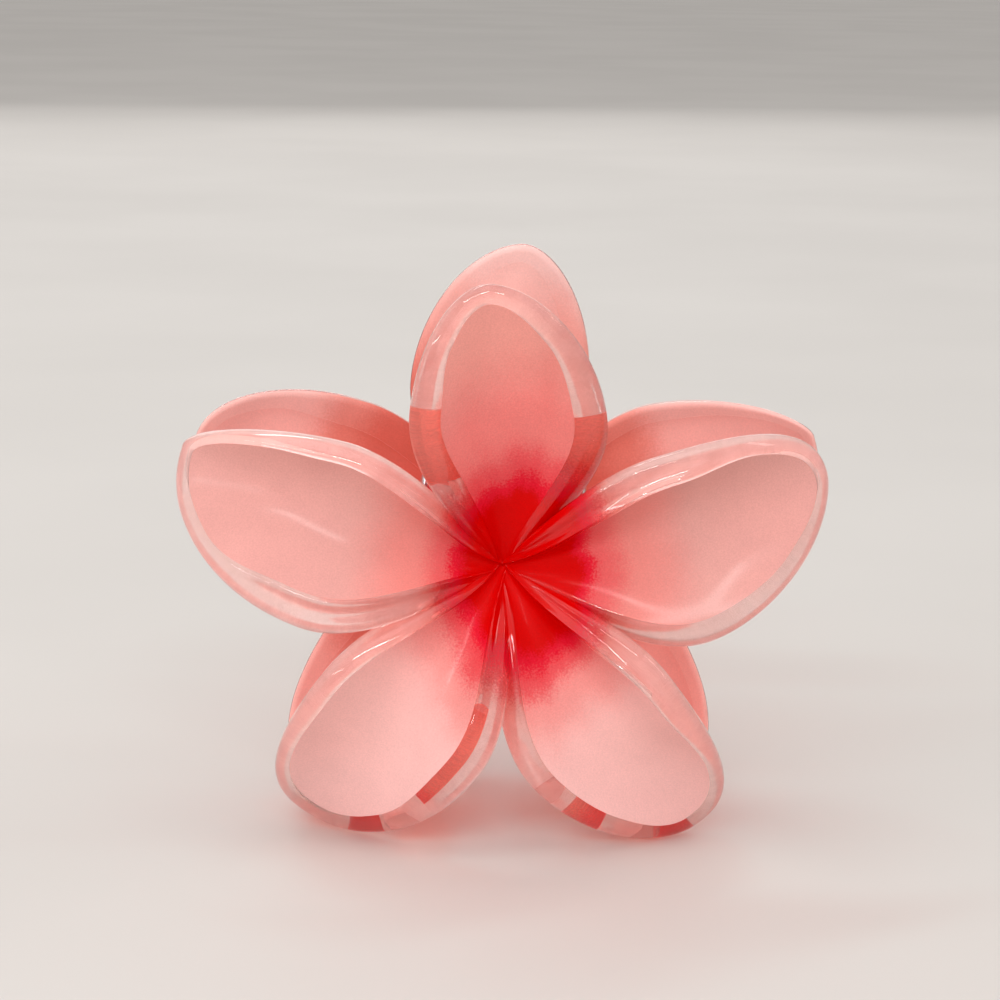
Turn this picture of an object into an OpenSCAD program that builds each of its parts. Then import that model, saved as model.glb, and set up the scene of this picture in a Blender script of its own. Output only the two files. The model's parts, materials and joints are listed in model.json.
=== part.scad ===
// Flower claw clip for hair. Two identical five-petal mouldings stand back to back
// and turn on one hinge pin; a torsion spring on the pin holds the lower petals shut.
// Millimetres, +Z up, the front flower faces -Y, the origin is on the ground below the pin.
// Angles around a flower run anticlockwise as seen from the front, from +X.

/* [Flower] */
// Depth of the throat in front of the plane between the flowers
throat_depth = 8; // [7.5:0.5:9]
// Front to back wall of a petal
wall = 2.2; // [1.8:0.1:2.6]
// Depth of the bowl in the face of a petal
bowl = 3; // [2:0.5:4]
// Height of the ridge that runs round the bowl
ridge = 0.8; // [0.4:0.1:1.2]
// How far a petal's anticlockwise side stands in front of its clockwise side at the throat
tuck = 3; // [2.4:0.2:3.2]
// Where along a petal it is widest, as a share of its length
belly = 0.52; // [0.45:0.01:0.6]

/* [Top petal] */
// Turn from its even place, in degrees
top_turn = -0.5; // [-4:0.5:4]
// Length from the throat
top_length = 35.5; // [32:0.5:38]
// Half widths, anticlockwise side and clockwise side
top_half_widths = [10.5, 12.5]; // [8:0.5:14]
// Roundness of the two sides towards the tip
top_round = [1.7, 1.9]; // [1.5:0.1:2.7]
// Sideways bend at the tip, as a share of the length
top_bend = 0.07; // [-0.07:0.005:0.07]
// Crest of the arch over the two edges
top_crests = [22, 18]; // [16:1:24]
// Depth of the tip in front of the plane between the flowers
top_tip = 20; // [18:0.5:21]

/* [Left petal] */
// Turn from its even place, in degrees
left_turn = -1; // [-4:0.5:4]
// Length from the throat
left_length = 41; // [38:0.5:42]
// Half widths, anticlockwise side and clockwise side
left_half_widths = [12.5, 9]; // [8:0.5:14]
// Roundness of the two sides towards the tip
left_round = [2.4, 1.5]; // [1.5:0.1:2.7]
// Sideways bend at the tip, as a share of the length
left_bend = -0.015; // [-0.07:0.005:0.07]
// Crest of the arch over the two edges
left_crests = [31, 25]; // [22:1:32]
// Depth of the tip in front of the plane between the flowers
left_tip = 6; // [6:0.5:9]

/* [Lower left petal] */
// Turn from its even place, in degrees
lower_left_turn = 1.5; // [-4:0.5:4]
// Length from the throat
lower_left_length = 39.5; // [38:0.5:41]
// Half widths, anticlockwise side and clockwise side
lower_left_half_widths = [11.5, 10.5]; // [8:0.5:14]
// Roundness of the two sides towards the tip
lower_left_round = [2.3, 2.2]; // [1.5:0.1:2.7]
// Sideways bend at the tip, as a share of the length
lower_left_bend = -0.05; // [-0.07:0.005:0.07]
// Crest of the arch over the two edges
lower_left_crests = [28, 31]; // [22:1:32]
// Depth of the tip in front of the plane between the flowers
lower_left_tip = 8; // [7:0.5:10]

/* [Lower right petal] */
// Turn from its even place, in degrees
lower_right_turn = 1; // [-4:0.5:4]
// Length from the throat
lower_right_length = 40.5; // [39:0.5:41]
// Half widths, anticlockwise side and clockwise side
lower_right_half_widths = [9.5, 12]; // [8:0.5:14]
// Roundness of the two sides towards the tip
lower_right_round = [2.6, 1.7]; // [1.5:0.1:2.7]
// Sideways bend at the tip, as a share of the length
lower_right_bend = -0.01; // [-0.07:0.005:0.07]
// Crest of the arch over the two edges
lower_right_crests = [26, 28]; // [22:1:32]
// Depth of the tip in front of the plane between the flowers
lower_right_tip = 8.5; // [7:0.5:10]

/* [Right petal] */
// Turn from its even place, in degrees
right_turn = -1; // [-4:0.5:4]
// Length from the throat
right_length = 40.5; // [38:0.5:42]
// Half widths, anticlockwise side and clockwise side
right_half_widths = [9.5, 14]; // [8:0.5:14]
// Roundness of the two sides towards the tip
right_round = [2.3, 1.7]; // [1.5:0.1:2.7]
// Sideways bend at the tip, as a share of the length
right_bend = 0; // [-0.07:0.005:0.07]
// Crest of the arch over the two edges
right_crests = [24, 27]; // [22:1:32]
// Depth of the tip in front of the plane between the flowers
right_tip = 7.5; // [6:0.5:9]

/* [Hinge] */
// Height of the hinge pin above the throat
hinge_rise = 8; // [7.5:0.5:9]
// Radius of the hinge pin
pin_r = 1; // [0.9:0.05:1.1]
// Gap between the pin and each bore, on the radius
pin_gap = 0.05; // [0.02:0.01:0.1]
// Thickness of a hinge lug
lug_t = 2; // [1.6:0.1:2.2]
// Radius of a hinge lug around the pin
lug_r = 3; // [2.6:0.1:3.4]
// Half the room between the inner lugs, for the coil
coil_room = 5; // [4.9:0.1:5.4]
// Gap between two lugs that pass each other
lug_gap = 0.3; // [0.2:0.05:0.5]

/* [Spring] */
// Diameter of the spring wire
wire_d = 1.2; // [1:0.1:1.3]
// Radius of the coil, to the middle of the wire
coil_r = 3.1; // [2.8:0.1:3.2]
// Step of the coil from turn to turn
coil_pitch = 1.45; // [1.35:0.05:1.5]
// Lean of each leg away from the upright, in degrees
leg_lean = 30; // [26:1:32]
// Length of each leg from the coil
leg_length = 11; // [9:0.5:12]

/* [Teeth] */
// Distance from one tooth of a flower to its next
tooth_pitch = 13; // [12.6:0.1:13.4]
// Width of a tooth
tooth_w = 6; // [5:0.1:6.2]
// Thickness of a tooth, across the edge that it stands on
tooth_t = 2; // [1.5:0.1:2.5]
// How far a tooth passes the plane between the flowers
tooth_reach = 3.5; // [2:0.5:4]

/* [Hidden] */

face_pink = [0.93, 0.63, 0.6];
throat_red = [0.85, 0.05, 0.1];
clear_pink = [0.96, 0.75, 0.73];
steel = [0.75, 0.76, 0.78];
smooth = 48;

// A petal is one list: angle, length, half widths, roundness, bend, crests, tip depth.
TOP = [90 + top_turn, top_length, top_half_widths, top_round, top_bend, top_crests, top_tip];
LEFT = [162 + left_turn, left_length, left_half_widths, left_round, left_bend,
    left_crests, left_tip];
LOWER_LEFT = [234 + lower_left_turn, lower_left_length, lower_left_half_widths,
    lower_left_round, lower_left_bend, lower_left_crests, lower_left_tip];
LOWER_RIGHT = [306 + lower_right_turn, lower_right_length, lower_right_half_widths,
    lower_right_round, lower_right_bend, lower_right_crests, lower_right_tip];
RIGHT = [18 + right_turn, right_length, right_half_widths, right_round, right_bend,
    right_crests, right_tip];

// Share of the full width that a petal has at its root, and how its shoulder swells
root_share = 0.12;
shoulder = 1.15;
// The petals' grid: where the first and last rows lie along them, and the columns across
first_row = 0.05;
last_row = 0.998;
rows = 14;
columns = [-1, -0.84, -0.62, -0.32, 0, 0.32, 0.62, 0.84, 1];
ridge_at = 0.84;
ridge_spread = 0.13;

function mix(low, high, share) = low + (high - low) * share;
function side(pair, b) = b > 0 ? pair[0] : pair[1];

// Share of the half width at a share a of the length: a sine shoulder, then a round tip
function swell(a, n) = a < belly
    ? root_share + (1 - root_share) * pow(sin(90 * a / belly), shoulder)
    : pow(1 - pow((a - belly) / (1 - belly), n), 1 / n);

// How far along and across a petal the grid point a, b lies
function along(petal, a) = petal[1] * a;
function across(petal, a, b) = b * side(petal[2], b) * swell(a, side(petal[3], b))
    + petal[4] * petal[1] * a * a;

// Depth of the middle of the wall: an arch from throat to tip, twisted at the throat
function sheet(petal, a, b) =
    let (crest = mix(petal[5][1], petal[5][0], (b + 1) / 2))
    throat_depth * pow(1 - a, 2) + 2 * crest * a * (1 - a) + petal[6] * a * a
    + tuck / 2 * b * sin(180 * min(1, a / 0.9));

// Shape of the face across a petal: a hollow bowl inside a ridge
function face(a, b) = ridge * exp(-pow((abs(b) - ridge_at) / ridge_spread, 2)) * sin(180 * a)
    - bowl * (1 - b * b) * pow(sin(180 * min(1, 1.02 * a)), 0.8);

// From along, across and depth to the front flower's place in the clip, with the throat at height 0
function placed(petal, s, t, w) =
    [s * cos(petal[0]) - t * sin(petal[0]), -w, s * sin(petal[0]) + t * cos(petal[0])];

function row_at(i) = mix(first_row, last_row, sin(90 * i / rows));
function grid(petal, offset) = [
    for (i = [0:rows]) for (b = columns)
        let (a = row_at(i))
        placed(petal, along(petal, a), across(petal, a, b), sheet(petal, a, b) + face(a, b) + offset)
];

// The ground is at the lowest point of the two lower petals
throat_height = -min([for (petal = [LOWER_LEFT, LOWER_RIGHT]) for (p = grid(petal, 0)) p[2]]);
hinge_height = throat_height + hinge_rise;

// Triangles of the two sheets of a grid and of the wall between them
function grid_faces(nr, nc) =
    let (n = nr * nc)
    concat(
        [for (i = [0:nr - 2]) for (j = [0:nc - 2]) let (k = i * nc + j)
            each [[k, k + nc, k + nc + 1], [k, k + nc + 1, k + 1]]],
        [for (i = [0:nr - 2]) for (j = [0:nc - 2]) let (k = n + i * nc + j)
            each [[k, k + nc + 1, k + nc], [k, k + 1, k + nc + 1]]],
        [for (i = [0:nr - 2]) let (k = i * nc)
            each [[k, n + k, n + k + nc], [k, n + k + nc, k + nc]]],
        [for (i = [0:nr - 2]) let (k = i * nc + nc - 1)
            each [[k, n + k + nc, n + k], [k, k + nc, n + k + nc]]],
        [for (j = [0:nc - 2]) each [[j, n + j + 1, n + j], [j, j + 1, n + j + 1]]],
        [for (j = [0:nc - 2]) let (k = (nr - 1) * nc + j)
            each [[k, n + k, n + k + 1], [k, n + k + 1, k + 1]]]
    );

module petal(petal) {
    color(face_pink)
        translate([0, 0, throat_height])
            polyhedron(
                concat(grid(petal, -wall / 2), grid(petal, wall / 2)),
                grid_faces(rows + 1, len(columns)),
                convexity = 6
            );
}

// The funnel behind the petals' roots, which joins them and carries the lugs
module throat() {
    funnel_r = 6.5;
    flat_r = 3;
    color(throat_red)
        translate([0, 0, throat_height])
            rotate([90, 0, 0])
                rotate_extrude($fn = smooth)
                    polygon([
                        [0, throat_depth - 2.4], [flat_r, throat_depth - 2.4], [funnel_r, throat_depth - 0.6],
                        [funnel_r, throat_depth + 2], [0, throat_depth + 0.4]
                    ]);
}

// One hinge lug: an arm from the back of the flower to a boss around the pin
module lug(x) {
    foot_depth = throat_depth + 3.4;
    foot_low = hinge_rise - 7;
    foot_high = hinge_rise + 2;
    translate([x, 0, hinge_height])
        rotate([90, 0, 90])
            linear_extrude(lug_t)
                difference() {
                    union() {
                        circle(lug_r, $fn = smooth);
                        polygon([
                            [-lug_r * sin(20), lug_r * cos(20)],
                            [-foot_depth, foot_high - hinge_rise],
                            [-foot_depth, foot_low - hinge_rise],
                            [-lug_r * sin(20), -lug_r * cos(20)]
                        ]);
                    }
                    circle(pin_r + pin_gap, $fn = smooth);
                }
}

module hinge_lugs() {
    color(clear_pink) {
        lug(-coil_room - lug_t);
        lug(coil_room + lug_t + lug_gap);
    }
}

// A band under the rim of a lower petal, from the petal's wall to the far ends of the teeth.
// It follows the outline from the angle start to the angle end around the petal's tip.
function rim_a(n, turn) = mix(belly, 1, pow(cos(turn), 2 / n));
function rim(petal, turn, inset) =
    let (
        b = turn < 0 ? -1 : 1,
        n = side(petal[3], b),
        a = rim_a(n, turn),
        half = side(petal[2], b) * pow(abs(sin(turn)), 2 / n),
        centre = mix(along(petal, belly), along(petal, 1), 0.35),
        s = along(petal, a),
        bend = petal[4] * petal[1] * a * a,
        spread = norm([s - centre, half]),
        share = 1 - inset / spread
    )
    [mix(centre, s, share), b * half * share + bend, sheet(petal, a, b) - wall / 4];

module tooth_band(petal, start, end) {
    steps = 16;
    outer_inset = 0.4;
    turns = [for (i = [0:steps]) mix(start, end, i / steps)];
    rings = [for (turn = turns) let (
        outer = rim(petal, turn, outer_inset),
        inner = rim(petal, turn, outer_inset + tooth_t)
    ) each [
        placed(petal, outer[0], outer[1], outer[2]),
        placed(petal, outer[0], outer[1], -tooth_reach),
        placed(petal, inner[0], inner[1], -tooth_reach),
        placed(petal, inner[0], inner[1], outer[2])
    ]];
    last = 4 * steps;
    polyhedron(rings, concat(
        [[0, 1, 2], [0, 2, 3], [last + 2, last + 1, last], [last + 3, last + 2, last]],
        [for (i = [0:steps - 1]) for (j = [0:3]) let (k = 4 * i, m = (j + 1) % 4)
            each [[k + j, k + 4 + j, k + 4 + m], [k + j, k + 4 + m, k + m]]]
    ), convexity = 6);
}

// A slab with a round end, which cuts one tooth out of the band
module tooth_slab(x) {
    deep = 22;
    tall = 40;
    translate([x, 0, -tall])
        linear_extrude(tall) {
            translate([-tooth_w / 2, -deep])
                square([tooth_w, deep + tooth_reach - tooth_w / 2]);
            translate([0, tooth_reach - tooth_w / 2])
                circle(tooth_w / 2, $fn = smooth);
        }
}

module teeth(petal, start, end, places) {
    color(clear_pink)
        translate([0, 0, throat_height])
            intersection() {
                tooth_band(petal, start, end);
                union()
                    for (x = places) tooth_slab(x);
            }
}

// Half a step off centre, so that the turned flower's teeth fall between these
first_tooth = tooth_pitch / 4;
left_places = [first_tooth - 2 * tooth_pitch, first_tooth - tooth_pitch];
right_places = [first_tooth, first_tooth + tooth_pitch];

module turned() {
    rotate([0, 0, 180]) children();
}

module hinge_pin() {
    half = coil_room + 2 * lug_t + lug_gap + 0.1;
    head_t = 0.8;
    color(steel)
        translate([0, 0, hinge_height])
            rotate([0, 90, 0]) {
                cylinder(h = 2 * half + head_t, r = pin_r, center = true, $fn = smooth);
                for (end = [-1, 1])
                    translate([0, 0, end * (half + head_t / 2)])
                        cylinder(h = head_t, r = pin_r + 0.7, center = true, $fn = smooth);
            }
}

// The coil winds on as the clip opens. Its ends lie where the legs leave it at a tangent.
coil_end = 3 * 360 - 90 - leg_lean;
coil_sides = 6;
coil_step = 20;
coil_rings = ceil(2 * coil_end / coil_step);

function coil_ring(turn) = [
    for (k = [0:coil_sides - 1])
        let (q = 360 * k / coil_sides, r = coil_r + wire_d / 2 * cos(q))
        [coil_pitch * turn / 360 - wire_d / 2 * sin(q), -r * sin(turn), hinge_height + r * cos(turn)]
];

module spring_coil() {
    points = [for (i = [0:coil_rings]) each coil_ring(mix(-coil_end, coil_end, i / coil_rings))];
    last = coil_rings * coil_sides;
    color(steel)
        polyhedron(points, concat(
            [[for (k = [0:coil_sides - 1]) k]],
            [[for (k = [coil_sides - 1:-1:0]) last + k]],
            [for (i = [0:coil_rings - 1]) for (k = [0:coil_sides - 1])
                let (p = i * coil_sides + k, m = i * coil_sides + (k + 1) % coil_sides)
                each [[p, p + coil_sides, m + coil_sides], [p, m + coil_sides, m]]]
        ), convexity = 12);
}

// The front leg, from the coil's end up along the back of the top petal
module spring_leg() {
    color(steel)
        translate([-coil_pitch * coil_end / 360, 0, hinge_height])
            rotate([leg_lean, 0, 0])
                translate([0, -coil_r, 0]) {
                    cylinder(h = leg_length, d = wire_d, $fn = smooth);
                    translate([0, 0, leg_length]) sphere(d = wire_d, $fn = smooth);
                }
}

petal(TOP);  // front_petal_top
petal(LEFT);  // front_petal_left
petal(LOWER_LEFT);  // front_petal_lower_left
petal(LOWER_RIGHT);  // front_petal_lower_right
petal(RIGHT);  // front_petal_right
throat();  // front_throat
hinge_lugs();  // front_hinge_lugs
teeth(LOWER_LEFT, -30, 85, left_places);  // front_teeth_left
teeth(LOWER_RIGHT, -85, 30, right_places);  // front_teeth_right
turned() petal(TOP);  // rear_petal_top
turned() petal(LEFT);  // rear_petal_left
turned() petal(LOWER_LEFT);  // rear_petal_lower_left
turned() petal(LOWER_RIGHT);  // rear_petal_lower_right
turned() petal(RIGHT);  // rear_petal_right
turned() throat();  // rear_throat
turned() hinge_lugs();  // rear_hinge_lugs
turned() teeth(LOWER_LEFT, -30, 85, left_places);  // rear_teeth_left
turned() teeth(LOWER_RIGHT, -85, 30, right_places);  // rear_teeth_right
hinge_pin();
spring_coil();
spring_leg();  // spring_leg_front
turned() spring_leg();  // spring_leg_rear
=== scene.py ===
import json
import math

import bmesh
import bpy
import numpy as np
from mathutils import Matrix, Vector


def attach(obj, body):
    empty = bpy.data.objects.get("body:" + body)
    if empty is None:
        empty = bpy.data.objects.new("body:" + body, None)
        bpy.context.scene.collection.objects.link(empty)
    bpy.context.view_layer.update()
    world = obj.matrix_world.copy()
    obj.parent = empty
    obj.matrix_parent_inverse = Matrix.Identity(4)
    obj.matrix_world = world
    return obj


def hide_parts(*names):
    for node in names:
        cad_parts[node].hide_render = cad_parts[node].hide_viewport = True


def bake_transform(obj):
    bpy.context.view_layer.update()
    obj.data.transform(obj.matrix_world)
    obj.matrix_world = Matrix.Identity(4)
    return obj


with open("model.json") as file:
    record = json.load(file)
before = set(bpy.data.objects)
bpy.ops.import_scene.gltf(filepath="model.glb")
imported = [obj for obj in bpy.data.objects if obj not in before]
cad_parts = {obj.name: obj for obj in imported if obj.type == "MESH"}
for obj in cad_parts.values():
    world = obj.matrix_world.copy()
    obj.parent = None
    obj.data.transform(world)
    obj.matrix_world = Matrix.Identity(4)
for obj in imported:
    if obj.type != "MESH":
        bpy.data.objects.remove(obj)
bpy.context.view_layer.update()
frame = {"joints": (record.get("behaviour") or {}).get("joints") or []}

MM = 0.001
HINGE = Vector(frame["joints"][0]["pos_m"]) / MM
HINGE_RISE = 8.0                      # the hinge pin above the middle of the flower
THROAT_Z = HINGE.z - HINGE_RISE

# ---------------------------------------------------------------- the moulding's figures, in mm
THROAT_DEPTH = 8.0                    # the throat in front of the plane between the flowers
WALL = 2.2                            # the plastic's thickness
RIDGE = 0.8                           # the border's crest above the face of the wall
TUCK = 3.0                            # how far a petal's one side passes behind the next petal
BOWL_DROP = 3.7                       # from the crest to the middle of the bowl
BACK_DROP = 2.4                       # from the back of the border to the back of the bowl
EDGE_TURN = 0.95                      # the most that the rounded outer edge reaches in at the back
CREST_BAND = 0.45                     # the clear plastic's reach inside the crest
SHELL_GAP = 0.01                      # between the clear border and the painted bowl
PAINTED_THROAT = 9.0                  # within this of the middle, the border has the bowl's paint
SPINE_SOFTNESS = 7.0                  # how softly the bowl's middle line comes to its end
SPINE_AHEAD = 1.2                     # how far the middle line runs ahead of the outline beside it
CREST_TO_PAINT = 0.08                 # the least from the crest to the paint's edge

# Shares of a petal's length or half width
BELLY = 0.52                          # where the petal is widest
ROOT_SHARE = 0.12                     # its width at the root
SHOULDER = 1.15                       # how late it widens towards the belly
FIRST = -0.02                         # where it starts, just behind the middle of the flower
SPINE_END = 0.64                      # where the bowl's middle line ends
FULL_DROP = 0.34                      # where the bowl is at its full drop

# Other shares
ROOT_DROP = 0.3                       # the bowl's drop at the root, of its full drop
FOLD_FROM = 0.3                       # where the fold starts, of the way from the edge to the crest
MOST_CREST, MOST_PAINT = 0.66, 0.75   # the furthest in for each, of the way to the middle line

# How meshes are cleaned
WELD, NO_LENGTH = 2e-6, 1e-7          # metres
SHARP = 0.9                           # radians between two faces from which their edge stays sharp

# A petal points angle degrees anticlockwise from +X. bend is how far its tip leans to the side, as
# a share of its length, crests is how far its sides arch forward, tip is how far its tip stands
# forward, rounds is how square its end is, and fold is the depth of the groove along its border.
# Pairs are (anticlockwise side, clockwise side). rim and paint are the clear border's width on the
# face and on the back, from the root round to the tip, at the shares of the outline in STATIONS.
# bare is where the back of the border holds painted shade, the dark coral and crimson of the
# hollow between the flowers as seen through a clear window, instead of the border's paint: lowest
# and highest x, lowest and highest z, from the middle of the flower, and the first ring of the
# back, counted from the outer edge, that has the painted shade.
STATIONS = (0.0, 0.3, 0.55, 0.8, 1.0)
PETALS = {
    "top": dict(
        angle=89.5, length=35.5, half=(10.5, 12.5), rounds=(1.7, 1.9), bend=0.07,
        crests=(22, 18), tip=20,
        rim=((3.0, 3.0, 2.6, 2.2, 1.7), (3.4, 3.6, 3.4, 2.6, 1.7)),
        paint=((4.8, 5.2, 3.6, 2.4, 1.8), (4.8, 4.9, 3.8, 2.8, 1.8)), fold=0.35,
        bare=((-20, 0, 11.5, 21.0, 5), (0, 20, 10.0, 19.7, 2))),
    "left": dict(
        angle=161, length=41, half=(12.5, 9), rounds=(2.4, 1.5), bend=-0.015,
        crests=(31, 25), tip=6,
        rim=((4.2, 4.6, 4.2, 2.0, 1.0), (2.4, 2.3, 1.9, 1.4, 1.0)),
        paint=((4.4, 4.8, 4.3, 2.1, 1.1), (2.5, 2.4, 2.0, 1.4, 1.1)), fold=0.5),
    "lower_left": dict(
        angle=235.5, length=39.5, half=(11.5, 10.5), rounds=(2.3, 2.2), bend=-0.05,
        crests=(28, 31), tip=8,
        rim=((3.4, 4.2, 4.4, 3.2, 2.2), (2.8, 2.7, 1.9, 1.4, 2.2)),
        paint=((3.6, 4.4, 4.5, 3.3, 2.3), (2.9, 2.8, 2.0, 1.5, 2.3)), fold=0.45,
        bare=((-18.0, -13.3, -40, -26, 5), (-7.2, 0.6, -40, -16.5, 9))),
    "lower_right": dict(
        angle=307, length=40.5, half=(9.5, 12), rounds=(2.6, 1.7), bend=-0.01,
        crests=(26, 28), tip=8.5,
        rim=((4.2, 4.3, 3.2, 1.7, 1.8), (3.2, 3.1, 2.9, 2.6, 1.8)),
        paint=((4.4, 4.5, 3.3, 1.8, 1.9), (3.3, 3.2, 3.0, 2.7, 1.9)), fold=0.5,
        bare=((7.4, 11.6, -40, -26, 5), (18.8, 24.4, -40, -29, 5))),
    "right": dict(
        angle=17, length=40.5, half=(9.5, 14), rounds=(2.3, 1.7), bend=0.0,
        crests=(24, 27), tip=7.5,
        rim=((5.2, 4.8, 3.6, 2.0, 1.1), (2.9, 3.0, 2.8, 2.0, 1.1)),
        paint=((5.4, 5.0, 3.7, 2.1, 1.2), (3.0, 3.1, 2.9, 2.1, 1.2)), fold=0.7),
}


def smooth(x):
    x = np.clip(x, 0, 1)
    return x * x * (3 - 2 * x)


def along_stations(values, f):
    """values at STATIONS, read at f, with a smooth step between each two."""
    i = np.clip(np.searchsorted(STATIONS, f, side="right") - 1, 0, len(STATIONS) - 2)
    st, v = np.array(STATIONS), np.array(values, float)
    u = smooth((f - st[i]) / (st[i + 1] - st[i]))
    return v[i] + (v[i + 1] - v[i]) * u


def held_under(x, most):
    """x, bent softly so that it never reaches most."""
    return x * most / np.sqrt(x ** 2 + most ** 2)


def swell(a, n):
    """A petal's half width at share a of its length, as a share of the widest."""
    low = ROOT_SHARE + (1 - ROOT_SHARE) * np.sin(np.pi / 2 * np.clip(a / BELLY, 0, 1)) ** SHOULDER
    u = np.clip((a - BELLY) / (1 - BELLY), 0, 1)
    return np.where(a < BELLY, low, np.maximum(1 - u ** n, 0) ** (1 / n))


def outline(p, side, count):
    """count + 1 points (along, across) evenly spaced from the root to the tip on one side."""
    n, half = p["rounds"][side], p["half"][side]
    a = np.linspace(FIRST, BELLY, 300)
    q = np.linspace(0, np.pi / 2, 500)[1:]
    a = np.concatenate([a, BELLY + (1 - BELLY) * np.sin(q) ** (2 / n)])
    t = np.concatenate([swell(a[:300], n), np.cos(q) ** (2 / n)]) * half
    t[-1] = 0
    pts = np.column_stack([a * p["length"], t * (1, -1)[side]])
    run = np.concatenate([[0], np.cumsum(np.linalg.norm(np.diff(pts, axis=0), axis=1))])
    at = np.linspace(0, run[-1], count + 1)
    return np.column_stack([np.interp(at, run, pts[:, 0]), np.interp(at, run, pts[:, 1])])


def depth(p, s, t):
    """How far the middle of the wall stands in front of the plane between the flowers."""
    a = np.clip(s / p["length"], 0, 1)
    side = np.where(t >= 0, swell(a, p["rounds"][0]), swell(a, p["rounds"][1]))
    left, right = p["half"]
    share = np.clip((t / np.maximum(side, 1e-3) + right) / (left + right), 0, 1)
    crest = p["crests"][1] + (p["crests"][0] - p["crests"][1]) * share
    return (THROAT_DEPTH * (1 - a) ** 2 + 2 * crest * a * (1 - a) + p["tip"] * a * a
            + TUCK / 2 * (2 * share - 1) * np.sin(np.pi * np.minimum(1, a / 0.9)))


def across_flower(p, s, t):
    """Along and across in a petal to x and z from the middle of the front flower, in mm."""
    t = t + p["bend"] * p["length"] * (s / p["length"]) ** 2
    c, n = math.cos(math.radians(p["angle"])), math.sin(math.radians(p["angle"]))
    return s * c - t * n, s * n + t * c


def place(p, s, t, w):
    """Along, across and depth in a petal to the front flower's place, in metres."""
    x, z = across_flower(p, s, t)
    return np.stack([x, -w, z + THROAT_Z], -1) * MM


def bare_from(p, spot):
    """The first ring behind the border with painted shade at this spot (along, across) of the
    outline.
    """
    x, z = across_flower(p, *spot)
    for x0, x1, z0, z1, ring in p.get("bare", ()):
        if x0 < x < x1 and z0 < z < z1:
            return ring
    return None


# BARE is the slot of the painted shade behind a window, on the front flower
CLEAR, BACK, FACE, BACK_RIM, BETWEEN, BARE, WINDOW = range(7)   # the material slots of a petal


def inner_inset(step, band_n, inner_n, wide, edge, far):
    """Inset of a ring inside the crest: even steps to the paint's edge, then on to the middle."""
    if step <= band_n:
        return wide + (edge - wide) * step / band_n
    return edge + (far - edge) * ((step - band_n) / inner_n) ** 1.25


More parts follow.
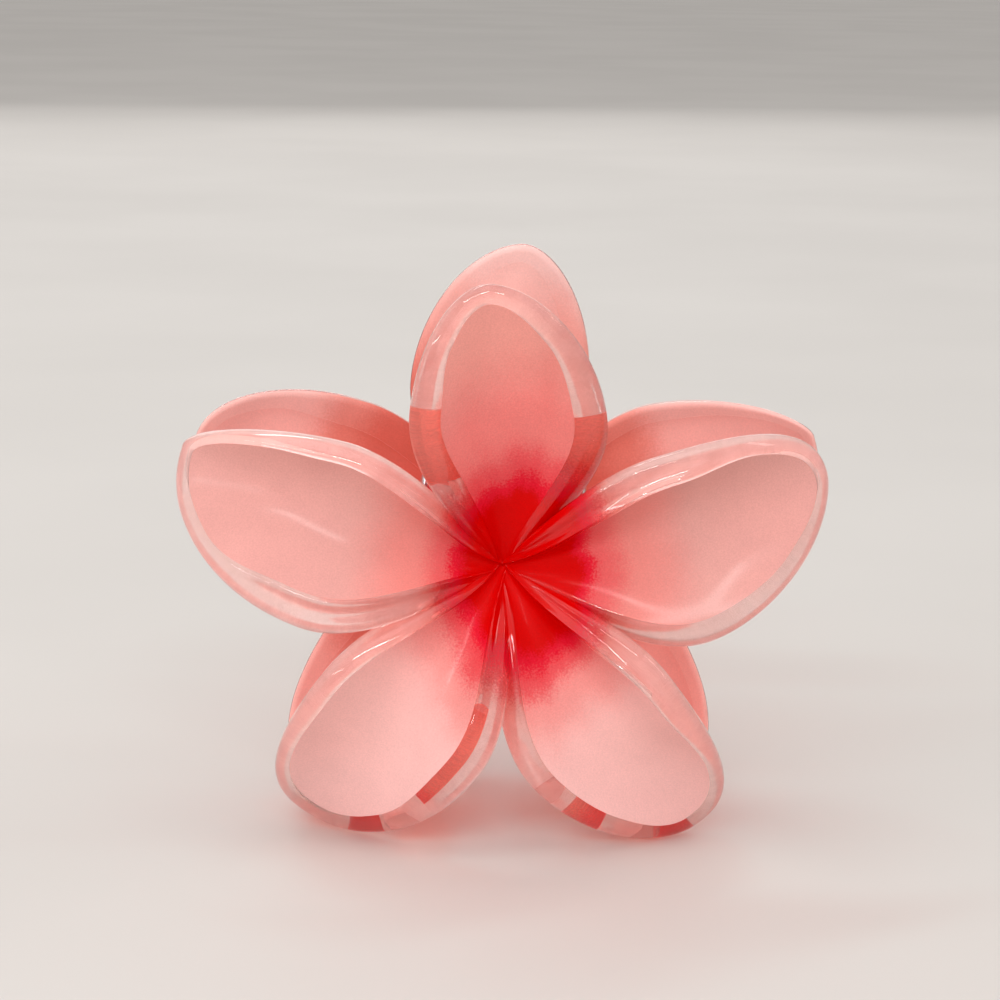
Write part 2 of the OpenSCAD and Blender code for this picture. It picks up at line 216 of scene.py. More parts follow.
def petal_mesh(name, p, count=84, rim_n=10, band_n=2, inner_n=15):
    """Two closed shells that meet at the paint's edge: the clear rounded border with its crest, and
    the painted bowl."""
    join, total = rim_n + band_n, rim_n + band_n + inner_n
    turn_n = rim_n - 3
    sides = [outline(p, k, count) for k in (0, 1)]
    f = np.linspace(0, 1, count + 1)
    middle, soft, root = SPINE_END * p["length"], SPINE_SOFTNESS, FIRST * p["length"]
    reach = (sides[0][:, 0] + sides[1][:, 0]) / 2 + SPINE_AHEAD
    spine = reach + middle - np.sqrt((reach - middle) ** 2 + soft ** 2)
    spine = root + (spine - spine[0]) * (middle - root) / (spine[-1] - spine[0])
    fade = ROOT_DROP + (1 - ROOT_DROP) * smooth(spine / (FULL_DROP * p["length"]))

    def column(side, face, m, nudge=0.0):
        """The points of ring m on one side, from the root to the tip."""
        pt = sides[side]
        run = np.column_stack([spine, np.zeros(count + 1)]) - pt
        far = np.linalg.norm(run, axis=1)
        run = run / far[:, None]
        wide = along_stations(p["rim"][side], f)
        edge = along_stations(p["paint"][side], f) + CREST_BAND
        edge = held_under(edge, MOST_PAINT * far)
        wide = np.minimum(held_under(wide, MOST_CREST * far), edge - CREST_TO_PAINT)
        if face == "front":
            crest = WALL / 2 + RIDGE * np.sin(np.pi * np.clip(pt[:, 0] / p["length"], 0, 1)) ** 0.7
            low = WALL / 2 + RIDGE - BOWL_DROP * fade
            if m <= rim_n:
                x = 1 - math.cos(math.pi / 2 * m / rim_n)
                d = wide * x
                h = crest * math.sin(math.pi / 2 * m / rim_n)
                if side == 0 and x > FOLD_FROM:     # the fold fades out on the way to the tip
                    fold = math.sin(math.pi * (x - FOLD_FROM) / (1 - FOLD_FROM)) ** 2
                    h = h - p["fold"] * fold * (smooth(f / 0.15) * (1 - smooth((f - 0.45) / 0.3)))
            else:                                   # down from the crest to a level middle
                d = inner_inset(m - rim_n, band_n, inner_n, wide, edge, far)
                q = (d - wide) / (far - wide)
                u = q * q * 1.05 / (q + 0.05)
                h = crest + (low - crest) * (1 - (1 - u) ** 2)
        else:
            low = -WALL / 2 - BACK_DROP * fade
            turn = np.minimum(EDGE_TURN, 0.6 * wide)
            if m <= turn_n:
                d = turn * (1 - math.cos(math.pi / 2 * m / turn_n))
                h = -WALL / 2 * math.sin(math.pi / 2 * m / turn_n)
            elif m <= join:
                d = turn + (edge - turn) * (m - turn_n) / (join - turn_n)
                h = -WALL / 2
            else:
                q = ((m - join) / inner_n) ** 1.1
                d = edge + (far - edge) * q
                h = -WALL / 2 + (low + WALL / 2) * smooth(q)
        st = pt + run * (d + nudge * (m < total))[:, None]
        return place(p, st[:, 0], st[:, 1], depth(p, st[:, 0], st[:, 1]) + h)

    verts, faces, slots = [], [], []
    for shell, first, last in (("border", 0, join), ("bowl", join, total)):
        nudge = 0.0 if shell == "border" else SHELL_GAP
        wide = last - first + 1
        for side in (0, 1):
            base = {}
            for face in ("front", "back"):
                base[face] = len(verts)
                rows = np.stack([column(side, face, m, nudge) for m in range(first, last + 1)], 1)
                verts.extend(rows.reshape(-1, 3).tolist())
                for k in range(count):
                    for m in range(wide - 1):
                        at = base[face] + k * wide + m
                        faces.append([at, at + wide, at + wide + 1, at + 1])
                        if shell == "bowl":
                            slots.append(FACE if face == "front" else BACK)
                        elif face == "back" and np.linalg.norm(sides[side][k]) < PAINTED_THROAT:
                            slots.append(BACK)
                        else:
                            ring = bare_from(p, sides[side][k])
                            # the back of a window takes the painted shade of the hollow
                            if face == "back" and m >= 2:
                                slots.append(BACK_RIM if ring is None or m < ring else BARE)
                            else:
                                slots.append(CLEAR if ring is None else WINDOW)
            front, back = base["front"], base["back"]
            for m in range(wide - 1):                       # the cut at the root
                faces.append([front + m, front + m + 1, back + m + 1, back + m])
                slots.append(CLEAR if shell == "border" else BACK)
            end = wide - 1 if shell == "border" else 0      # the wall between the two shells
            for k in range(count):
                i, j = front + k * wide + end, back + k * wide + end
                faces.append([i, i + wide, j + wide, j])
                slots.append(BETWEEN)
    return tidy_mesh(name, verts, faces, slots)


def tidy_mesh(name, verts, faces, slots=None):
    """Welds shared borders, drops faces with no area, turns normals outward, shades smooth."""
    bm = bmesh.new()
    made = [bm.verts.new(v) for v in verts]
    for i, corner in enumerate(faces):
        face = bm.faces.new([made[k] for k in corner])
        face.smooth = True
        face.material_index = slots[i] if slots else 0
    bmesh.ops.remove_doubles(bm, verts=bm.verts, dist=WELD)
    bmesh.ops.dissolve_degenerate(bm, edges=bm.edges, dist=NO_LENGTH)
    bmesh.ops.recalc_face_normals(bm, faces=bm.faces)
    for e in bm.edges:
        e.smooth = e.calc_face_angle(0.0) < SHARP
    if bm.calc_volume(signed=True) < 0:
        bmesh.ops.reverse_faces(bm, faces=bm.faces)
    mesh = bpy.data.meshes.new(name)
    bm.to_mesh(mesh)
    bm.free()
    return mesh


def add(name, mesh, materials, body, nodes, turned=False):
    """A piece on this body in place of these CAD nodes, turned half a turn about Z if asked."""
    if not mesh.materials:
        for m in materials:
            mesh.materials.append(m)
    o = bpy.data.objects.new(name, mesh)
    bpy.context.scene.collection.objects.link(o)
    if turned:
        o.matrix_world = Matrix.Rotation(math.pi, 4, "Z")
    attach(o, body)
    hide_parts(*nodes)
    return o


def add_both(piece, mesh, materials, cad_node):
    """The same piece for each half of the clip."""
    for half in ("front", "rear"):
        add(f"{half}_{piece}", mesh, materials, half + "_half", [f"{half}_{cad_node}"],
            turned=half == "rear")


def loft(name, rings):
    """A tube through rings of the same number of points, closed at both ends."""
    rings = np.array(rings)
    n, k = rings.shape[:2]
    verts = rings.reshape(-1, 3).tolist()
    faces = [[i * k + j, i * k + (j + 1) % k, (i + 1) * k + (j + 1) % k, (i + 1) * k + j]
             for i in range(n - 1) for j in range(k)]
    for first, order in ((0, -1), ((n - 1) * k, 1)):
        centre = len(verts)
        verts.append(np.mean([verts[first + j] for j in range(k)], axis=0).tolist())
        for j in range(k):
            tri = [centre, first + j, first + (j + 1) % k]
            faces.append(tri[::order])
    return tidy_mesh(name, verts, faces)


# ---------------------------------------------------------------- materials
def material(name):
    m = bpy.data.materials.new(name)
    m.use_nodes = True
    nt = m.node_tree
    nt.nodes.clear()
    out = nt.nodes.new("ShaderNodeOutputMaterial")
    bsdf = nt.nodes.new("ShaderNodeBsdfPrincipled")
    nt.links.new(bsdf.outputs[0], out.inputs[0])
    return m, nt, bsdf, out


def node(nt, kind, inputs=(), **props):
    n = nt.nodes.new(kind)
    for k, v in props.items():
        setattr(n, k, v)
    for key, value in dict(inputs).items():
        if isinstance(value, bpy.types.NodeSocket):
            nt.links.new(value, n.inputs[key])
        else:
            n.inputs[key].default_value = value
    return n


def noise(nt, where, scale, detail=2.0, rough=0.5):
    return node(nt, "ShaderNodeTexNoise", {"Vector": where, "Scale": scale, "Detail": detail,
                                           "Roughness": rough}).outputs["Fac"]


def blend_colours(nt, factor, a, b):
    return node(nt, "ShaderNodeMix", {"Factor": factor, 6: a, 7: b}, data_type="RGBA").outputs[2]


def vector(nt, kind, inputs, output=0):
    return node(nt, "ShaderNodeVectorMath", inputs, operation=kind).outputs[output]


def span(nt, value, low, high, to_low, to_high):
    """value's place between low and high, as the same place between to_low and to_high."""
    return node(nt, "ShaderNodeMapRange", {"Value": value, "From Min": low, "From Max": high,
                                           "To Min": to_low, "To Max": to_high}).outputs["Result"]


def calc(nt, kind, a, b=0.0):
    return node(nt, "ShaderNodeMath", {0: a, 1: b}, operation=kind).outputs[0]


def ramp(nt, value, stops):
    r = node(nt, "ShaderNodeValToRGB", {"Fac": value})
    r.color_ramp.interpolation = "EASE"
    while len(r.color_ramp.elements) < len(stops):
        r.color_ramp.elements.new(0.5)
    for e, (at, colour) in zip(r.color_ramp.elements, stops):
        e.position = at
        e.color = (*colour, 1)
    return r.outputs["Color"]


def bump(nt, height, strength, distance):
    return node(nt, "ShaderNodeBump", {"Height": height, "Strength": strength,
                                       "Distance": distance}).outputs["Normal"]


def srgb(*c):
    return tuple((v / 255 / 12.92) if v <= 10 else ((v / 255 + 0.055) / 1.055) ** 2.4 for v in c)


def let_lamps_through(nt, bsdf, out, colour, share=1.0):
    """Lamp light passes through the surface, tinted, so that what is behind it is lit."""
    path = node(nt, "ShaderNodeLightPath")
    clear = node(nt, "ShaderNodeBsdfTransparent", {"Color": (*colour, 1)})
    factor = path.outputs["Is Shadow Ray"]
    if share < 1:
        factor = calc(nt, "MULTIPLY", factor, share)
    mix = node(nt, "ShaderNodeMixShader", {0: factor, 1: bsdf.outputs[0], 2: clear.outputs[0]})
    nt.links.new(mix.outputs[0], out.inputs[0])


def from_throat(nt, where):
    """Distance from the middle of the red, from the front, with an airbrush's drift and grain."""
    flat = vector(nt, "SUBTRACT", {0: where, 1: (RED_AT[0], 0, RED_AT[1])})
    flat = vector(nt, "MULTIPLY", {0: flat, 1: (RED_NARROWER, 0.0, 1.0)})
    away = vector(nt, "LENGTH", {0: flat}, "Value")
    ray = vector(nt, "NORMALIZE", {0: flat})
    streak = span(nt, noise(nt, ray, 2.2, 2, 0.5), 0.3, 0.7, -0.0010, 0.0010)
    drift = span(nt, noise(nt, where, 130, 2, 0.5), 0.3, 0.7, -0.0010, 0.0010)
    grain = span(nt, noise(nt, where, 4200, 2, 0.7), 0.25, 0.75, -0.0011, 0.0011)
    return calc(nt, "ADD", calc(nt, "ADD", calc(nt, "ADD", away, streak), drift), grain)


def clear_plastic(name, light, deep, passed, milk):
    """Clear with a little milkiness, and red where the throat's paint drifted over it. The plastic
    is clouded from light to deep, and passed is the tint of the lamp light that goes through."""
    m, nt, bsdf, out = material(name)
    where = node(nt, "ShaderNodeTexCoord").outputs["Object"]
    away = from_throat(nt, where)
    cloud = span(nt, noise(nt, where, 90, 3), 0.35, 0.65, 0, 1)
    colour = blend_colours(nt, cloud, (*light, 1), (*deep, 1))
    near = ramp(nt, span(nt, away, 0.0, 0.026, 0, 1),
                [(0.36, RED), (0.43, CRIMSON), (0.52, ROSE), (0.63, srgb(247, 184, 176)),
                 (0.85, light)])
    share = span(nt, away, 0.0150, 0.0220, 0, 1)
    colour = blend_colours(nt, share, near, colour)
    nt.links.new(colour, bsdf.inputs["Base Color"])
    glassy = span(nt, noise(nt, where, 160, 3), 0.3, 0.7, 1 - milk * 1.25, 1 - milk * 0.75)
    nt.links.new(calc(nt, "MULTIPLY", glassy, span(nt, away, 0.0085, 0.0150, 0.0, 1)),
                 bsdf.inputs["Transmission Weight"])
    nt.links.new(span(nt, noise(nt, where, 700, 3), 0.3, 0.7, 0.02, 0.07), bsdf.inputs["Roughness"])
    nt.links.new(bump(nt, noise(nt, where, 260, 2), 0.12, 0.0002), bsdf.inputs["Normal"])
    bsdf.inputs["IOR"].default_value = ACRYLIC
    let_lamps_through(nt, bsdf, out, passed)
    return m


def paint(name, high, low=None, fall=(0.060, 0.008), rough=(0.36, 0.5), through=0.7, coat=0.0,
          grain=0.07, glass=0.0):
    """Sprayed paint: red at the throat, salmon beyond, with the grain of an airbrush between. The
    colours are high's at the top of the flower and low's at its foot; where they differ, that is
    painted light and shade. through is the share of lamp light that passes, coat the plastic's
    gloss in front of the paint, and glass how clear it is."""
    m, nt, bsdf, out = material(name)
    where = node(nt, "ShaderNodeTexCoord").outputs["Object"]
    away = from_throat(nt, where)
    reach = span(nt, away, 0.0, PAINT_REACH, 0, 1)
    colour = ramp(nt, reach, high)
    # painted light and shade: the colour goes from high's to low's down the flower
    if low:
        rise = node(nt, "ShaderNodeSeparateXYZ", {0: where}).outputs[2]
        down = span(nt, rise, *fall, 0, 1)
        colour = blend_colours(nt, down, colour, ramp(nt, reach, low))
    fleck = span(nt, noise(nt, where, 5200, 2, 0.6), 0.3, 0.7, 1 - grain, 1 + 0.7 * grain)
    blotch = span(nt, noise(nt, where, 120, 3, 0.5), 0.3, 0.7, 0.95, 1.04)
    tone = calc(nt, "MULTIPLY", fleck, blotch)
    nt.links.new(vector(nt, "SCALE", {0: colour, "Scale": tone}), bsdf.inputs["Base Color"])
    nt.links.new(span(nt, noise(nt, where, 900, 2), 0.3, 0.7, *rough), bsdf.inputs["Roughness"])
    nt.links.new(bump(nt, noise(nt, where, 3000, 2), 0.15, 0.0001), bsdf.inputs["Normal"])
    bsdf.inputs["Specular IOR Level"].default_value = 0.05
    if glass:
        thin = span(nt, noise(nt, where, 240, 3), 0.3, 0.7, glass - 0.12, glass + 0.12)
        nt.links.new(calc(nt, "MULTIPLY", thin, span(nt, away, 0.009, 0.015, 0, 1)),
                     bsdf.inputs["Transmission Weight"])
        bsdf.inputs["IOR"].default_value = ACRYLIC
    if coat:
        nt.links.new(span(nt, away, 0.008, 0.016, 0.04, coat), bsdf.inputs["Coat Weight"])
    bsdf.inputs["Coat Roughness"].default_value = 0.16
    bsdf.inputs["Coat IOR"].default_value = ACRYLIC
    let_lamps_through(nt, bsdf, out, PASSED_BY_WALL if through == 1 else PASSED_BY_PAINT, through)
    return m


ACRYLIC = 1.49                        # index of refraction
PAINT_REACH = 0.040                   # metres over which the paint's colour changes
RED_AT = (0.0025, THROAT_Z * MM + 0.0009)       # x and z of the middle of the red, in metres
RED_NARROWER = 1.38                   # the red's height over its width
RED = srgb(212, 0, 0)
CRIMSON = srgb(226, 22, 48)
ROSE = srgb(232, 84, 88)
PASSED_BY_PAINT = srgb(255, 186, 176)
PASSED_BY_WALL = srgb(255, 238, 234)

light_deep_passed = srgb(255, 232, 228), srgb(254, 222, 216), srgb(255, 234, 230)
petal_clear = clear_plastic("petal_clear_plastic", *light_deep_passed, milk=0.10)
petal_window = clear_plastic("petal_window_plastic", *light_deep_passed, milk=0.02)
jaw_clear = clear_plastic("jaw_clear_plastic", srgb(254, 206, 199), srgb(250, 190, 182),
                          srgb(255, 214, 207), milk=0.3)

# Colours from the middle of the red outwards, at shares of PAINT_REACH: high at the top of the
# flower, low at its foot. Where high and low differ, that is painted light and shade.
NEAR = [(0.0, RED), (0.222, RED), (0.265, CRIMSON), (0.325, ROSE)]
RIM_NEAR = [(0.0, RED), (0.17, RED), (0.22, CRIMSON), (0.28, ROSE)]
# Painted light and shade: the face is a deeper salmon at the top of the flower and paler at its
# foot
FACE_HIGH_PAINTED_SHADE = NEAR + [(0.46, srgb(240, 122, 116)), (0.75, srgb(245, 164, 153))]
FACE_LOW_PAINTED_LIGHT = NEAR + [(0.42, srgb(243, 160, 154)), (0.60, srgb(249, 194, 189))]
# Painted shade: the left and right petals' faces are a deeper salmon than the other three's
FACE_SIDE_PAINTED_SHADE = NEAR[:3] + [(0.325, srgb(230, 98, 98)), (0.46, srgb(234, 138, 130)),
                        (0.75, srgb(228, 162, 154))]
# Painted light: the border's paint is paler at the foot of the flower, to make the downward-facing
# lower rims look lit
RIM_HIGH = RIM_NEAR + [(0.40, srgb(250, 198, 191)), (0.75, srgb(253, 218, 212))]
RIM_LOW_PAINTED_LIGHT = RIM_NEAR + [(0.39, srgb(252, 212, 207)), (0.7, srgb(255, 230, 226))]
# The red at the throat is the airbrush's; the deep coral band beyond it and the darker foot of the
# low ramps are painted shade, for the hollow between the two flowers
BACK_NEAR = [(0.0, RED), (0.14, RED), (0.20, CRIMSON), (0.31, srgb(206, 94, 80))]
BACK_HIGH = BACK_NEAR + [(0.50, srgb(208, 98, 84)), (0.68, srgb(243, 176, 167)),
                         (0.86, srgb(247, 192, 184))]
BACK_LOW_PAINTED_SHADE = BACK_NEAR + [(0.50, srgb(208, 96, 82)), (0.68, srgb(222, 122, 108)),
                        (0.88, srgb(243, 172, 163))]
REAR_HIGH = BACK_NEAR + [(0.50, srgb(224, 124, 112)), (0.68, srgb(242, 170, 160)),
                         (0.86, srgb(249, 200, 193))]
REAR_LOW_PAINTED_SHADE = BACK_NEAR + [(0.50, srgb(213, 102, 88)), (0.68, srgb(229, 136, 123)),
                        (0.88, srgb(246, 182, 173))]
# Painted shade: the coral and crimson of the hollow between the flowers, put behind the windows
WINDOW_PAINTED_SHADE_HIGH = NEAR[:3] + [(0.40, srgb(248, 112, 98)), (0.7, srgb(252, 140, 124))]
WINDOW_PAINTED_SHADE_LOW = NEAR[:3] + [(0.5, srgb(250, 132, 116)), (0.70, srgb(252, 128, 112)),
                       (0.82, srgb(255, 72, 68))]

# the back is darker under the second height: painted shade
BACK_FALL = (0.062, 0.045)            # metres up: high above the first, low under the second
petal_back = paint("petal_back_paint", BACK_HIGH, BACK_LOW_PAINTED_SHADE, fall=BACK_FALL)
petal_rim = paint("petal_rim_paint", RIM_HIGH, RIM_LOW_PAINTED_LIGHT, rough=(0.05, 0.12), glass=0.5)
petal_rear_rim = paint("petal_rear_rim_paint", REAR_HIGH, REAR_LOW_PAINTED_SHADE, fall=BACK_FALL)
petal_between = paint("petal_wall_paint", RIM_HIGH, RIM_LOW_PAINTED_LIGHT, through=1)
petal_painted_window_shade = paint("petal_window_painted_shade", WINDOW_PAINTED_SHADE_HIGH, WINDOW_PAINTED_SHADE_LOW, grain=0.12)
# the face paint, with painted light and shade from the top of the flower to its foot
petal_face = paint("petal_face_paint", FACE_HIGH_PAINTED_SHADE, FACE_LOW_PAINTED_LIGHT, coat=0.24)
petal_side_face_painted_shade = paint("petal_side_face_paint_with_painted_shade", FACE_SIDE_PAINTED_SHADE, coat=0.24)
throat_paint = paint("throat_paint", [(0.0, srgb(200, 0, 0)), (0.12, RED), (0.2, CRIMSON)],
                     through=0.1)

steel, nt, bsdf, out = material("plated_steel")
where = node(nt, "ShaderNodeTexCoord").outputs["Object"]
bsdf.inputs["Metallic"].default_value = 1.0
plating = ramp(nt, noise(nt, where, 300, 4), [(0.3, srgb(196, 197, 200)),
                                              (0.7, srgb(222, 223, 226))])
nt.links.new(plating, bsdf.inputs["Base Color"])
stretched = node(nt, "ShaderNodeMapping", {"Vector": where, "Scale": (1, 14, 14)}).outputs[0]
nt.links.new(span(nt, noise(nt, stretched, 900, 3), 0.3, 0.7, 0.16, 0.34), bsdf.inputs["Roughness"])
nt.links.new(bump(nt, noise(nt, stretched, 1500, 2), 0.2, 0.00005), bsdf.inputs["Normal"])

# ---------------------------------------------------------------- the ten petals
# The front flower's windows hold painted shade; the rear flower has its rim paint there
HALVES = (("front", petal_rim, petal_painted_window_shade), ("rear", petal_rear_rim, petal_rear_rim))
for name, p in PETALS.items():
    mesh = petal_mesh("petal_" + name, p)
    # the left and right petals take the face paint with painted shade
    inner = petal_side_face_painted_shade if name in ("left", "right") else petal_face
    for half, rim, bare in HALVES:
        add(f"{half}_petal_{name}_shell", mesh.copy(),
            [petal_clear, petal_back, inner, rim, petal_between, bare, petal_window],
            half + "_half", [f"{half}_petal_{name}"], turned=half == "rear")

# ---------------------------------------------------------------- the throat behind their roots
# (radius, depth in front of the plane between the flowers), round the cup from its back to its face
profile = [(0.02, 5.7), (2.8, 5.7), (4.2, 6.3), (5.7, 7.05), (6.2, 7.5), (6.4, 8.0), (6.4, 9.3),
           (6.25, 9.7), (5.8, 9.75), (4.4, 9.1), (3.0, 8.5), (1.5, 8.2), (0.02, 8.1)]
rings = []
turn = np.linspace(0, 2 * np.pi, 65)[:-1]
for r, w in profile:
    ring = [r * np.cos(turn), np.full(turn.shape, -w), THROAT_Z + r * np.sin(turn)]
    rings.append(np.stack(ring, -1) * MM)
add_both("throat_cup", loft("throat", rings), [throat_paint], "throat")

# ---------------------------------------------------------------- hinge lugs with rounded edges
PIN_R, BORE = 1.0, 1.05               # the pin's radius and its bores' radius
LUG_R, LUG_T = 3.0, 2.0               # a lug's boss, and its thickness
ROOM, GAP = 5.0, 0.3                  # from the middle to the inner lug, and between two lugs
FOOT, FOOT_LOW, FOOT_HIGH = THROAT_DEPTH + 3.4, -7.0, 2.0       # where the arm meets the petals
ARM_TURN = math.radians(20)           # where the arm leaves the boss
LUG_EDGE = 0.35                       # the rounding of a lug's edges


def lug_outline(turn):
    """Radius from the pin's axis of the boss and arm together, at each turn from +Z towards -Y."""
    arm_y, arm_z = LUG_R * math.sin(ARM_TURN), LUG_R * math.cos(ARM_TURN)
    arm = [(arm_y, arm_z), (FOOT, FOOT_HIGH), (FOOT, FOOT_LOW), (arm_y, -arm_z)]
    out = np.full(turn.shape, LUG_R)
    for (y0, z0), (y1, z1) in zip(arm, arm[1:]):
        for i, q in enumerate(turn):
            u, v = math.sin(q), math.cos(q)
            det = u * (z0 - z1) - v * (y0 - y1)
            if abs(det) < 1e-9:
                continue
            r = (y0 * (z0 - z1) - z0 * (y0 - y1)) / det
            k = (u * z0 - v * y0) / det
            if r > 0 and -1e-6 <= k <= 1 + 1e-6:
                out[i] = max(out[i], r)
    return out


def lug_mesh(name, places):
    """Lugs that start at these places along the pin, with the bore through each."""
    corners = [math.atan2(FOOT, FOOT_HIGH), math.atan2(FOOT, FOOT_LOW)]
    turn = np.sort(np.concatenate([np.linspace(0, 2 * np.pi, 97)[:-1], corners,
                                   [c + e for c in corners for e in (-0.02, 0.02)]]))
    rim = lug_outline(turn)
    verts, faces = [], []
    steps = [math.pi / 2 * k / 4 for k in range(5)]
    rounding = [(LUG_EDGE * (1 - math.cos(q)), LUG_EDGE * (1 - math.sin(q))) for q in steps]
    for x in places:
        rings = []
        stations = [(x, BORE, 0), (x, None, LUG_EDGE)]            # (along the pin, radius, inset)
        stations += [(x + along, None, inset) for along, inset in rounding[1:]]
        stations += [(x + LUG_T - along, None, inset) for along, inset in rounding[::-1]]
        stations += [(x + LUG_T, BORE, 0)]
        for px, fixed, inset in stations:
            r = np.full(turn.shape, fixed) if fixed else rim - inset
            rings.append(np.stack([np.full(turn.shape, px), -r * np.sin(turn),
                                   HINGE.z + r * np.cos(turn)], -1) * MM)
        rings = np.array(rings)
        n, k = rings.shape[:2]
        base = len(verts)
        verts += rings.reshape(-1, 3).tolist()
        for i in range(n):
            for j in range(k):
                faces.append([base + i * k + j, base + i * k + (j + 1) % k,
                              base + (i + 1) % n * k + (j + 1) % k, base + (i + 1) % n * k + j])
    return tidy_mesh(name, verts, faces)


mesh = lug_mesh("lugs", [-ROOM - LUG_T, ROOM + LUG_T + GAP])
add_both("lugs_rounded", mesh, [jaw_clear], "hinge_lugs")

# ---------------------------------------------------------------- the pin, with domed heads
half_pin = ROOM + 2 * LUG_T + GAP + 0.1
HEAD_R, HEAD_T, DOME, CHAMFER = 1.7, 0.8, 0.55, 0.12
head_end, head_foot = half_pin + HEAD_T, half_pin + CHAMFER
shape = [(-head_end, 0.02)]                                       # (along the pin, radius)
shape += [(-head_end + DOME * (1 - math.cos(q)), HEAD_R * math.sin(q))
          for q in np.linspace(0.15, math.pi / 2, 9)]
shape += [(-head_foot, HEAD_R), (-half_pin, HEAD_R - CHAMFER), (-half_pin, PIN_R),
          (half_pin, PIN_R), (half_pin, HEAD_R - CHAMFER), (head_foot, HEAD_R)]
shape += [(head_end - DOME * (1 - math.cos(q)), HEAD_R * math.sin(q))
          for q in np.linspace(math.pi / 2, 0.15, 9)]
shape += [(head_end, 0.02)]
turn = np.linspace(0, 2 * np.pi, 49)[:-1]
rings = []
for x, r in shape:
    ring = [np.full(turn.shape, x), r * np.cos(turn), HINGE.z + r * np.sin(turn)]
    rings.append(np.stack(ring, -1) * MM)
add("hinge_pin_domed", loft("pin", rings), [steel], "front_half", ["hinge_pin"])

# ---------------------------------------------------------------- the spring, one wire end to end
WIRE, COIL_R, PITCH = 1.2, 3.1, 1.45  # the wire's diameter, the coil's radius and its step per turn
LEAN, LEG, LEG_STEPS = 30.0, 11.0, 23 # the legs' lean in degrees, their length and their points
END = 3 * 360 - 90 - LEAN             # degrees from the coil's middle to the foot of a leg
ROUND_END = [(0.0, 1.0), (0.22, 0.93), (0.42, 0.72), (0.55, 0.4), (0.6, 0.12)]  # (on, radius share)
route = []
tip_x = -PITCH * END / 360
lean = math.radians(LEAN)
for k in range(LEG_STEPS):             # the front leg, from its free end down to the coil
    h = LEG * (1 - k / LEG_STEPS)
    route.append((tip_x, -COIL_R * math.cos(lean) - h * math.sin(lean),
                  HINGE.z - COIL_R * math.sin(lean) + h * math.cos(lean)))
for q in np.linspace(-END, END, 265):
    r = math.radians(q)
    route.append((PITCH * q / 360, -COIL_R * math.sin(r), HINGE.z + COIL_R * math.cos(r)))
for k in range(1, LEG_STEPS + 1):      # the rear leg
    h = LEG * k / LEG_STEPS
    route.append((-tip_x, COIL_R * math.cos(lean) + h * math.sin(lean),
                  HINGE.z - COIL_R * math.sin(lean) + h * math.cos(lean)))
route = np.array(route)
tangent = np.gradient(route, axis=0)
tangent /= np.linalg.norm(tangent, axis=1)[:, None]
rings = []
side = np.array([1.0, 0, 0])
for i, (c, t) in enumerate(zip(route, tangent)):
    side = side - t * (side @ t)
    side /= np.linalg.norm(side)
    up = np.cross(t, side)
    q = np.linspace(0, 2 * np.pi, 15)[:-1]
    circle = np.outer(np.cos(q), side) + np.outer(np.sin(q), up)
    ends = ROUND_END[:1]
    if i == 0:
        ends = [(-on, share) for on, share in ROUND_END[::-1]]
    if i == len(route) - 1:
        ends = ROUND_END
    for on, share in ends:
        rings.append((c + t * on + WIRE / 2 * share * circle) * MM)
spring = bpy.data.objects.new("torsion_spring_wire", loft("spring", rings))
spring.data.materials.append(steel)
bpy.context.scene.collection.objects.link(spring)
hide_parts("spring_coil", "spring_leg_front", "spring_leg_rear")
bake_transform(spring)

# ---------------------------------------------------------------- teeth under the lower rims
TOOTH_PITCH, TOOTH_W, TOOTH_T = 13.0, 6.0, 2.0
REACH = 3.5                           # how far a tooth passes the plane between the flowers
INSET = 0.4                           # from the petal's edge to the tooth's underside
TOOTH_FOOT = -8                       # a tooth stands below this height from the flower's middle
THIN_END = 0.72                       # a tooth's thickness at its tip, as a share


def tooth(p, x0, x1):
    """A plate that stands on the petal's edge between x0 and x1 and crosses the middle plane."""
    path = np.concatenate([outline(p, 1, 400), outline(p, 0, 400)[::-1][1:]])
    x, z = across_flower(p, path[:, 0], path[:, 1])
    w = depth(p, path[:, 0], path[:, 1])
    low = np.where((z < TOOTH_FOOT) & (x >= x0 - 0.01) & (x <= x1 + 0.01))[0]
    runs = np.split(low, np.where(np.diff(low) > 1)[0] + 1)
    order = min(runs, key=lambda r: z[r].mean())          # the petal's under edge, not its top one
    order = order[np.argsort(x[order])]
    px, pz, pw = x[order], z[order], w[order]
    run = np.concatenate([[0], np.cumsum(np.hypot(np.diff(px), np.diff(pz)))])
    tx, tz = np.gradient(px, run), np.gradient(pz, run)
    half = run[-1] / 2
    rings = []
    round_r = min(TOOTH_W / 2, half)
    base, neck = pw.mean() - WALL / 4, round_r - REACH
    # (depth, share of the width), straight to the neck and then round to the tip
    stations = [(base, 1.0)] + [(base + (neck - base) * k / 10, 1.0) for k in range(1, 11)]
    stations += [(neck - round_r * math.sin(q), max(math.cos(q), 0.06))
                 for q in np.linspace(0, math.pi / 2, 10)[1:]]
    for w_at, share in stations:
        ring = []
        for q in np.linspace(0, 2 * np.pi, 41)[:-1]:
            u, v = math.cos(q), math.sin(q)
            # an oblong with soft corners
            u, v = math.copysign(abs(u) ** 0.35, u), math.copysign(abs(v) ** 0.5, v)
            at = half + u * half * share
            thick = TOOTH_T / 2 * (1 if share > 0.9 else THIN_END + (1 - THIN_END) * share)
            cx, cz = np.interp(at, run, px), np.interp(at, run, pz)
            dx, dz = np.interp(at, run, tx), np.interp(at, run, tz)
            size = math.hypot(dx, dz)
            nx, nz = -dz / size, dx / size
            push = INSET + TOOTH_T / 2 + v * thick
            ring.append([(cx + nx * push) * MM, -w_at * MM, (cz + nz * push + THROAT_Z) * MM])
        rings.append(ring)
    return rings


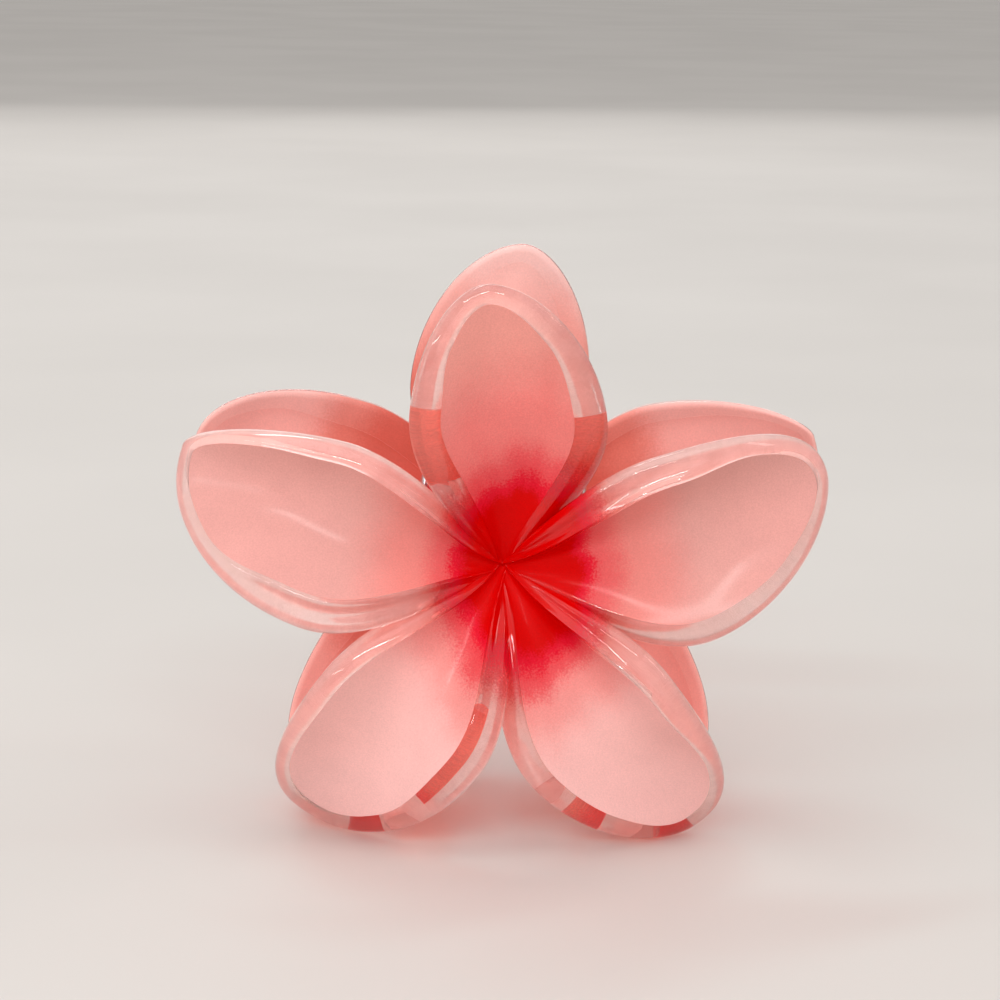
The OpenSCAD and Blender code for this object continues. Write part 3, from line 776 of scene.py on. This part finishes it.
def tooth_place(k):
    """Lowest and highest x of the front flower's tooth k, counted from the middle to the right."""
    middle = TOOTH_PITCH / 4 + k * TOOTH_PITCH
    return middle - TOOTH_W / 2, middle + TOOTH_W / 2


NARROW_X = 4.2                        # tooth 0 starts here, where its petal's edge starts
PLACES = {
    "left": ("lower_left", [tooth_place(-2), tooth_place(-1)]),
    "right": ("lower_right", [(NARROW_X, tooth_place(0)[1]), tooth_place(1)]),
}
for side_name, (petal, places) in PLACES.items():
    parts = [loft("tooth", tooth(PETALS[petal], *xs)) for xs in places]
    bm = bmesh.new()
    for part in parts:
        bm.from_mesh(part)
    mesh = bpy.data.meshes.new("teeth_" + side_name)
    bm.to_mesh(mesh)
    bm.free()
    add_both(f"teeth_{side_name}_rounded", mesh, [jaw_clear], "teeth_" + side_name)

# ---------------------------------------------------------------- floor, light and camera
floor_mesh = bpy.data.meshes.new("floor")
FLOOR = 12                            # half its side in metres
corners = [(-FLOOR, -FLOOR, 0), (FLOOR, -FLOOR, 0), (FLOOR, FLOOR, 0), (-FLOOR, FLOOR, 0)]
floor_mesh.from_pydata(corners, [], [(0, 1, 2, 3)])
floor = bpy.data.objects.new("floor", floor_mesh)
bpy.context.scene.collection.objects.link(floor)
floor_mat, nt, bsdf, out = material("pale_floor")
where = node(nt, "ShaderNodeTexCoord").outputs["Object"]
pale = ramp(nt, noise(nt, where, 6, 3), [(0.3, srgb(201, 196, 191)), (0.7, srgb(206, 201, 196))])
nt.links.new(pale, bsdf.inputs["Base Color"])
bsdf.inputs["Roughness"].default_value = 0.6
bsdf.inputs["Specular IOR Level"].default_value = 0.3
floor_mesh.materials.append(floor_mat)
floor.location.z = -0.0002

# The studio is brighter overhead, and darker straight ahead and behind
world = bpy.data.worlds.new("studio")
bpy.context.scene.world = world
world.use_nodes = True
nt = world.node_tree
where = node(nt, "ShaderNodeTexCoord").outputs["Generated"]
split = node(nt, "ShaderNodeSeparateXYZ", {0: where}).outputs
over = span(nt, split[2], -0.1, 0.9, 0.53, 0.88)
level = node(nt, "ShaderNodeMapRange", {"Value": calc(nt, "ABSOLUTE", split[1]), "From Min": 0.45,
                                        "From Max": 0.92, "To Min": 1.0, "To Max": 0.45},
             interpolation_type="SMOOTHSTEP").outputs["Result"]
nt.links.new(calc(nt, "MULTIPLY", over, level), nt.nodes["Background"].inputs[1])
nt.nodes["Background"].inputs[0].default_value = (*srgb(252, 251, 250), 1)

LAMP_AIM = Vector((0, 0, 0.034))      # half way up the clip
LAMPS = (                             # name, place and size in metres, power in watts
    ("key", (-0.20, -0.30, 1.3), (1.3, 1.0), 2.9),
    ("fill", (0.15, -1.2, 0.35), (1.2, 0.6), 1.7),
    ("rear", (-0.15, 1.2, 0.45), (1.2, 0.6), 2.2),
    ("front", (-0.12, -0.75, 0.62), (0.7, 0.04), 3.0),
    ("left", (-0.75, -0.6, 0.45), (0.5, 0.04), 0.8),
    ("strip", (-0.28, 0.5, 1.0), (0.5, 0.10), 1.9),
    ("side", (0.9, -0.1, 0.7), (0.12, 0.5), 0.6),
)
for name, at, size, power in LAMPS:
    data = bpy.data.lights.new(name, "AREA")
    data.shape = "RECTANGLE"
    data.size, data.size_y = size
    data.energy = power
    lamp = bpy.data.objects.new(name, data)
    lamp.location = at
    lamp.rotation_mode = "QUATERNION"
    lamp.rotation_quaternion = (Vector(at) - LAMP_AIM).to_track_quat("Z", "Y")
    bpy.context.scene.collection.objects.link(lamp)

camera_data = bpy.data.cameras.new("camera")
camera = bpy.data.objects.new("camera", camera_data)
bpy.context.scene.collection.objects.link(camera)
bpy.context.scene.camera = camera
# The camera's figures come from the fit of the petals' outlines to the photo
yaw, pitch, roll = math.radians(0.3), math.radians(13.1), math.radians(-0.9)
away = 0.330                          # metres from the middle of the flower
forward = Vector((math.sin(yaw) * math.cos(pitch), math.cos(yaw) * math.cos(pitch),
                  -math.sin(pitch)))
flat_right = Vector((math.cos(yaw), -math.sin(yaw), 0))
flat_up = flat_right.cross(forward)
right = flat_right * math.cos(roll) - flat_up * math.sin(roll)
up = flat_right * math.sin(roll) + flat_up * math.cos(roll)
turn = Matrix((right, up, -forward)).transposed().to_4x4()
camera.matrix_world = Matrix.Translation(Vector((0, 0, THROAT_Z * MM)) - forward * away) @ turn
camera_data.lens = 96.2
camera_data.sensor_width = 36
camera_data.shift_x, camera_data.shift_y = -0.0024, 0.0496
camera_data.clip_start, camera_data.clip_end = 0.01, 60

scene = bpy.context.scene
scene.view_settings.view_transform = "Standard"
scene.cycles.caustics_refractive = True
scene.cycles.caustics_reflective = False
scene.cycles.transmission_bounces = 16
scene.cycles.transparent_max_bounces = 24
scene.cycles.max_bounces = 18
